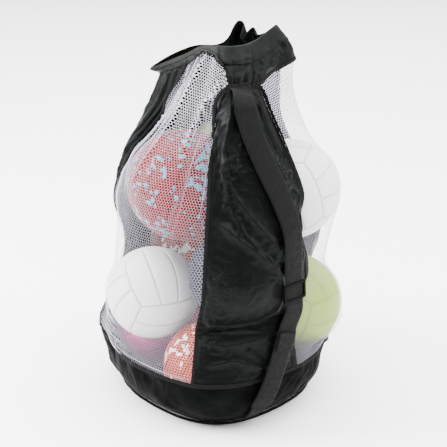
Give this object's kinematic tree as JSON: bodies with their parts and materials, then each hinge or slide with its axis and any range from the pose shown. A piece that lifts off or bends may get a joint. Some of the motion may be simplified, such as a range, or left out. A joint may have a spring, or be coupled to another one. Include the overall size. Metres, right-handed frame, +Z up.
{
  "type": "mesh ball bag",
  "caption": "Tall drawstring ball bag with white mesh and black nylon side panels, gathered collar, base band and adjustable shoulder strap, standing full of balls.",
  "frame": {"origin": "centre of the underside of the base", "axes": "+Z up; the rounded-square base has its sides along X and Y, and the strap runs down the side that faces -Y"},
  "size_m": [0.5245, 0.5352, 0.828],
  "materials": {
    "nylon_black": "satin",
    "binding_black": "matte",
    "mesh_white": "matte",
    "webbing_black": "matte",
    "slider_plastic": "satin",
    "eyelet_black": "satin",
    "ball_white": "satin",
    "ball_red": "satin",
    "ball_yellow": "satin",
    "ball_pink": "satin",
    "ball_orange": "satin",
    "ball_blue": "satin",
    "valve_rubber": "matte"
  },
  "bodies": {
    "bag": {"base_panel": "nylon_black", "base_band": "nylon_black", "base_piping": "binding_black", "band_top_tape": "binding_black", "nylon_panel_front": "nylon_black", "nylon_panel_back": "nylon_black", "mesh_panel_left": "mesh_white", "mesh_panel_right": "mesh_white", "seam_tape_front_left": "binding_black", "seam_tape_front_right": "binding_black", "seam_tape_back_right": "binding_black", "seam_tape_back_left": "binding_black", "collar": "nylon_black", "collar_hem": "nylon_black", "collar_seam_tape": "binding_black", "cord_eyelets": "eyelet_black", "strap_top_tab": "webbing_black", "strap_bottom_patch": "webbing_black"},
    "strap_upper": {"strap_webbing_upper": "webbing_black"},
    "strap_lower": {"strap_webbing_lower": "webbing_black", "strap_tail": "webbing_black"},
    "slider": {"strap_slider": "slider_plastic"},
    "ball_yellow": {"ball_yellow": "ball_yellow", "ball_yellow_valve": "valve_rubber"},
    "ball_white_right": {"ball_white_right": "ball_white", "ball_white_right_valve": "valve_rubber"},
    "ball_white_left": {"ball_white_left": "ball_white", "ball_white_left_valve": "valve_rubber"},
    "ball_red": {"ball_red": "ball_red", "ball_red_valve": "valve_rubber"},
    "ball_pink": {"ball_pink": "ball_pink", "ball_pink_valve": "valve_rubber"},
    "ball_orange": {"ball_orange": "ball_orange", "ball_orange_valve": "valve_rubber"},
    "ball_front": {"ball_front": "ball_white", "ball_front_valve": "valve_rubber"},
    "ball_back_low": {"ball_back_low": "ball_blue", "ball_back_low_valve": "valve_rubber"},
    "ball_back_middle": {"ball_back_middle": "ball_orange", "ball_back_middle_valve": "valve_rubber"},
    "ball_back_top": {"ball_back_top": "ball_yellow", "ball_back_top_valve": "valve_rubber"}
  },
  "joints": [
    {"name": "strap_lift", "type": "hinge", "parent": "bag", "child": "strap_upper", "pos_m": [-0.07918, -0.16069, 0.69], "axis": [-0.9997, 0.0224, -0.0082], "range_deg": [0, 5]},
    {"name": "strap_knee", "type": "hinge", "parent": "strap_upper", "child": "strap_lower", "pos_m": [-0.04019, -0.26895, 0.284], "axis": [0.9997, -0.0224, 0.0082], "range_deg": [0, 12]},
    {"name": "slider_slide", "type": "slide", "parent": "strap_upper", "child": "slider", "axis": [-0.007, 0.0532, 0.9986], "range_m": [0, 0.06]},
    {"name": "ball_yellow_roll", "type": "hinge", "parent": "bag", "child": "ball_yellow", "pos_m": [0.116, -0.124, 0.196], "axis": [0, 0, 1], "continuous": true},
    {"name": "ball_white_right_roll", "type": "hinge", "parent": "bag", "child": "ball_white_right", "pos_m": [0.102, -0.12, 0.464], "axis": [0, 0, 1], "continuous": true},
    {"name": "ball_white_left_roll", "type": "hinge", "parent": "bag", "child": "ball_white_left", "pos_m": [-0.152, 0.045, 0.247], "axis": [0, 0, 1], "continuous": true},
    {"name": "ball_red_roll", "type": "hinge", "parent": "bag", "child": "ball_red", "pos_m": [-0.102, -0.001, 0.494], "axis": [0, 0, 1], "continuous": true},
    {"name": "ball_pink_roll", "type": "hinge", "parent": "bag", "child": "ball_pink", "pos_m": [-0.041, 0.149, 0.108], "axis": [0, 0, 1], "continuous": true},
    {"name": "ball_orange_roll", "type": "hinge", "parent": "bag", "child": "ball_orange", "pos_m": [-0.134, -0.116, 0.118], "axis": [0, 0, 1], "continuous": true},
    {"name": "ball_front_roll", "type": "hinge", "parent": "bag", "child": "ball_front", "pos_m": [-0.086, -0.148, 0.324], "axis": [0, 0, 1], "continuous": true},
    {"name": "ball_back_low_roll", "type": "hinge", "parent": "bag", "child": "ball_back_low", "pos_m": [0.149, 0.068, 0.108], "axis": [0, 0, 1], "continuous": true},
    {"name": "ball_back_middle_roll", "type": "hinge", "parent": "bag", "child": "ball_back_middle", "pos_m": [0.071, 0.15, 0.281], "axis": [0, 0, 1], "continuous": true},
    {"name": "ball_back_top_roll", "type": "hinge", "parent": "bag", "child": "ball_back_top", "pos_m": [0.113, 0.092, 0.474], "axis": [0, 0, 1], "continuous": true}
  ],
  "couplings": [
    {"joint": "strap_knee", "follows": "strap_lift", "ratio": 2.4}
  ]
}
